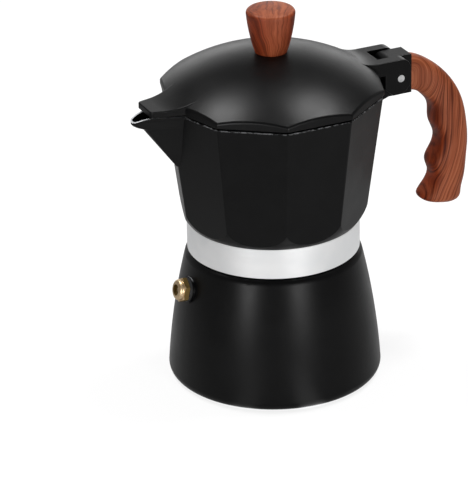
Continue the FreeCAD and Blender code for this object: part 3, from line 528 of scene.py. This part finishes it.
aluminium = bare_aluminium()
brass = plain_metal("brass_finish", srgb(188, 164, 130), srgb(208, 187, 155), rough=0.28)
valve_brass = plain_metal(
    "valve_finish", srgb(178, 152, 116), srgb(204, 182, 148), rough=0.34, painted_shade=valve_painted_shade
)
steel = plain_metal("steel_finish", srgb(176, 177, 178), srgb(206, 206, 206), rough=0.24)
finishes = {
    "boiler": black_paint("boiler_paint", boiler_bare),
    "collector_body": black_paint("collector_paint", collector_bare),
    "lid": black_paint("lid_paint", lid_bare),
    "handle": wood("handle_wood", handle_grain, handle_print_and_shade, gloss=0.10),
    "lid_knob": wood("knob_wood", knob_grain, knob_painted_light_and_shade, gloss=0.16),
    "gasket": soft_seal("silicone_finish", srgb(226, 223, 214), srgb(238, 236, 230), rough=0.45),
    "valve_washer": soft_seal("black_rubber_finish", srgb(22, 22, 22), srgb(32, 31, 30), rough=0.62),
}
for name in ("neck_band", "coffee_column", "funnel_basket", "funnel_stem", "basket_screen", "filter_plate"):
    finishes[name] = aluminium
for name in ("valve_plunger", "knob_insert", "handle_insert"):
    finishes[name] = brass
for name in ("valve_body", "valve_retainer"):
    finishes[name] = valve_brass
for name in ("hinge_pin", "knob_screw", "knob_washer", "handle_stud", "valve_spring"):
    finishes[name] = steel
for name, finish in finishes.items():
    for place in nodes[name].material_slots:
        place.material = finish


def piece(name, points, faces, finish, body):
    """A mesh of its own, in metres, that moves with one body."""
    mesh = bpy.data.meshes.new(name)
    mesh.from_pydata(points, [], faces)
    mesh.update()
    mesh.materials.append(finish)
    made = bpy.data.objects.new(name, mesh)
    scene.collection.objects.link(made)
    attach(made, body)


# The screw threads in metres: the lowest turn's height, the rise of a turn, and half of the ridge's height at
# its root and crest.
THREAD_LOW = 0.0583
THREAD_PITCH = 0.003
ROOT_HALF = 0.0007
CREST_HALF = 0.0003
THREAD_TURNS = 2
THREAD_STEPS = 60
RUN_OUT_STEPS = 15
CORNERS = 4


def thread(name, root, crest, phase, body):
    """A screw thread's ridge from its root to its crest radius, running out at both ends."""
    points = []
    faces = []
    count = THREAD_TURNS * THREAD_STEPS
    for step in range(count + 1):
        angle = 2 * math.pi * step / THREAD_STEPS
        height = THREAD_LOW + THREAD_PITCH * (step / THREAD_STEPS + phase)
        share = min(1.0, step / RUN_OUT_STEPS, (count - step) / RUN_OUT_STEPS)
        top = root + (crest - root) * share
        outline = ((root, -ROOT_HALF), (top, -CREST_HALF), (top, CREST_HALF), (root, ROOT_HALF))
        for radius, rise in outline:
            points.append((radius * math.cos(angle), radius * math.sin(angle), height + rise))
    for step in range(count):
        for side in range(CORNERS):
            here = CORNERS * step + side
            after = CORNERS * step + (side + 1) % CORNERS
            faces.append((here, after, after + CORNERS, here + CORNERS))
    faces.append(tuple(reversed(range(CORNERS))))
    faces.append(tuple(CORNERS * count + side for side in range(CORNERS)))
    if crest > root:
        faces = [face[::-1] for face in faces]
    piece(name, points, faces, aluminium, body)


def painted_screw_recess():
    """A dark cross on the head of the screw under the lid: painted shade that stands for the recess."""
    arm = 0.0024
    half = 0.0005
    proud = 0.00003
    deep = 0.0004
    screw = nodes["knob_screw"]
    low = min((screw.matrix_world @ Vector(corner)).z for corner in screw.bound_box)
    cross = [(arm, half), (half, half), (half, arm), (-half, arm), (-half, half), (-arm, half)]
    cross += [(-x, -y) for x, y in cross]
    points = [(x, y, low - proud) for x, y in cross] + [(x, y, low + deep) for x, y in cross]
    count = len(cross)
    faces = [tuple(range(count))[::-1], tuple(range(count, 2 * count))]
    for side in range(count):
        after = (side + 1) % count
        faces.append((side, after, after + count, side + count))
    # Dark metal as the painted shade of the recess.
    dark = plain_metal("painted_recess_shade_finish", srgb(40, 40, 41), srgb(60, 60, 61), rough=0.5)
    piece("painted_screw_recess", points, faces, dark, "lid")


def pressed_spring():
    """The valve's spring as a copy of its own, in place of the node, which is hidden."""
    coil = bpy.data.objects.new("spring_coil", nodes["valve_spring"].data.copy())
    scene.collection.objects.link(coil)
    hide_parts("valve_spring")
    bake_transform(coil)


# Directions of the strip lamps and of the painted pools of their light at the pot's foot, in degrees.
STRIP_LEFT = -146.0
STRIP_RIGHT = -86.0
FOOT_LEFT = -134.0
FOOT_RIGHT = -94.5
# A painted pool of light by its distance from the pot's axis in metres, and by how far aside, as a part of
# that.
FAR_POOL = (0.17, 0.32)
FOOT_POOL = (0.13, 0.09)
POOL_SPREAD = (0.18, 0.05)
LEAST_ALONG = 0.001
# Painted light that reflections see on the floor: dim at the left, at the far right and at the back.
LEFT_EDGE = (-0.22, -0.08)
RIGHT_RISE = (0.08, 0.19)
RIGHT_FADE = (0.18, 0.34)
BACK_FADE = (0.02, 0.14)
FLOOR_HALF = 4.0
FLOOR_GLOW = 0.8
PAPER_DARK = (0.9, 0.9, 0.9, 1.0)
PAPER_LIGHT = (0.93, 0.93, 0.93, 1.0)


def painted_pool(f, azimuth, reach, level):
    """A painted pool of a strip lamp's light on the floor in one direction, which only reflections see."""
    turn = math.radians(azimuth)
    along = f.plus(f.times(f.x, math.cos(turn)), f.times(f.y, math.sin(turn)))
    across = f.calc("ABSOLUTE", f.minus(f.times(f.x, math.sin(turn)), f.times(f.y, math.cos(turn))))
    spread = f.calc("DIVIDE", across, f.calc("MAXIMUM", along, LEAST_ALONG))
    return f.times(f.ramp(spread, *POOL_SPREAD), f.ramp(along, *reach, after=level))


def studio_floor():
    """Pale paper that is white to the camera; in reflections it glows with painted pools of lamp light and
    painted dim places.
    """
    mesh = bpy.data.meshes.new("floor")
    corners = [(x * FLOOR_HALF, y * FLOOR_HALF, 0.0) for x, y in ((-1, -1), (1, -1), (1, 1), (-1, 1))]
    mesh.from_pydata(corners, [], [(0, 1, 2, 3)])
    floor = bpy.data.objects.new("floor", mesh)
    scene.collection.objects.link(floor)
    f = Finish("floor_paper")
    fibre = f.noise(f.place, scale=900.0, detail=3.0, rough=0.6)
    paper = f.node("ShaderNodeBsdfDiffuse", {"Color": f.blend(fibre, PAPER_DARK, PAPER_LIGHT)})
    seen, mirrored = f.looks()
    far = f.plus(painted_pool(f, STRIP_LEFT, FAR_POOL, level=1.3), painted_pool(f, STRIP_RIGHT, FAR_POOL, level=1.5))
    foot = f.plus(painted_pool(f, FOOT_LEFT, FOOT_POOL, level=0.9), painted_pool(f, FOOT_RIGHT, FOOT_POOL, level=2.2))
    side = f.ramp(f.x, *LEFT_EDGE, before=0.12, after=0.48)
    side = f.plus(side, f.ramp(f.x, *RIGHT_RISE, after=0.05))
    side = f.times(side, f.ramp(f.x, *RIGHT_FADE, before=1.0, after=0.1))
    side = f.times(side, f.ramp(f.y, *BACK_FADE, before=1.0, after=0.55))
    # The floor's painted glow in reflections.
    reflected = f.plus(side, f.plus(far, foot))
    strength = f.plus(seen, f.times(mirrored, reflected))
    white = f.node("ShaderNodeEmission", {"Color": WHITE, "Strength": strength})
    share = f.times(f.either(seen, mirrored), FLOOR_GLOW)
    mixed = f.node("ShaderNodeMixShader", {0: share, 1: paper.outputs[0], 2: white.outputs[0]})
    f.put(f.output.inputs[0], mixed.outputs[0])
    mesh.materials.append(f.material)


# The surroundings by direction: the heights and the wall's width are parts of a direction of length one.
CEILING_HEIGHT = (0.0, 0.40)
WALL_AZIMUTH = 60.0
WALL_WIDTH = (0.74, 0.99)
WALL_HEIGHT = (0.60, 0.05)
WALL_LEVEL = 1.7
FILL_LEVEL = 0.27


def studio_world():
    """White for the camera; in reflections a white wall behind the pot under a dim ceiling; soft fill."""
    world = bpy.data.worlds.new("studio")
    world.use_nodes = True
    w = Nodes(world.node_tree)
    x, y, z = w.node("ShaderNodeSeparateXYZ", {0: w.coordinates["Generated"]}).outputs
    ceiling = w.ramp(z, *CEILING_HEIGHT, before=0.50, after=0.20)
    turn = math.radians(WALL_AZIMUTH)
    behind = w.plus(w.times(x, math.cos(turn)), w.times(y, math.sin(turn)))
    wall = w.both(w.ramp(behind, *WALL_WIDTH), w.ramp(z, *WALL_HEIGHT))
    seen, mirrored = w.looks()
    reflected = w.plus(ceiling, w.times(wall, WALL_LEVEL))
    around = w.plus(w.times(mirrored, reflected), w.times(w.minus(1.0, mirrored), FILL_LEVEL))
    strength = w.plus(seen, w.times(w.minus(1.0, seen), around))
    light = w.node("ShaderNodeBackground", {"Color": WHITE, "Strength": strength})
    w.node("ShaderNodeOutputWorld", {0: light.outputs[0]})
    scene.world = world


LAMP_AIM = Vector((0.0, 0.0, 0.08))


def lamp(name, azimuth, elevation, distance, width, height, power):
    """A soft box aimed at the pot: direction in degrees, lengths in metres, power in watts."""
    turn = math.radians(azimuth)
    rise = math.radians(elevation)
    away = Vector((math.cos(rise) * math.cos(turn), math.cos(rise) * math.sin(turn), math.sin(rise)))
    data = bpy.data.lights.new(name, "AREA")
    data.shape = "RECTANGLE"
    data.size = width
    data.size_y = height
    data.energy = power
    box = bpy.data.objects.new(name, data)
    scene.collection.objects.link(box)
    box.location = LAMP_AIM + away * distance
    box.rotation_euler = away.to_track_quat("Z", "Y").to_euler()
    box.visible_camera = False


def photo_camera():
    """The camera where the photograph was taken from: lengths in metres, angles in degrees."""
    turn = math.radians(-25.15)
    rise = math.radians(24.94)
    roll = math.radians(-1.01)
    distance = 1.5015
    target_aside = -0.01639
    target_height = 0.05331
    focal_pixels = 3621.79
    image_height = 500
    sensor_mm = 36.0
    back = Vector((math.sin(turn) * math.cos(rise), -math.cos(turn) * math.cos(rise), math.sin(rise)))
    right = Vector((math.cos(turn), math.sin(turn), 0.0))
    up = back.cross(right)
    target = right * target_aside + Vector((0.0, 0.0, target_height))
    side = right * math.cos(roll) + up * math.sin(roll)
    top = up * math.cos(roll) - right * math.sin(roll)
    data = bpy.data.cameras.new("photo_camera")
    data.sensor_width = sensor_mm
    data.lens = focal_pixels * sensor_mm / image_height
    data.clip_start = 0.05
    data.clip_end = 50.0
    camera = bpy.data.objects.new("photo_camera", data)
    scene.collection.objects.link(camera)
    turned = Matrix((side, top, back)).transposed().to_4x4()
    camera.matrix_world = Matrix.Translation(target + back * distance) @ turned
    scene.camera = camera


thread("neck_thread", root=0.03155, crest=0.03225, phase=0.0, body="boiler_unit")
thread("collar_thread", root=0.03270, crest=0.03200, phase=0.5, body="collector")
painted_screw_recess()
pressed_spring()
studio_floor()
studio_world()
lamp("softbox_left", azimuth=132.0, elevation=65.0, distance=1.3, width=0.40, height=0.40, power=12.8)
lamp("softbox_right", azimuth=0.0, elevation=67.0, distance=1.3, width=0.40, height=0.40, power=14.2)
lamp("strip_left", azimuth=STRIP_LEFT, elevation=5.0, distance=0.7, width=0.14, height=0.26, power=2.25)
lamp("strip_right", azimuth=STRIP_RIGHT, elevation=5.0, distance=0.7, width=0.165, height=0.26, power=2.2)
photo_camera()
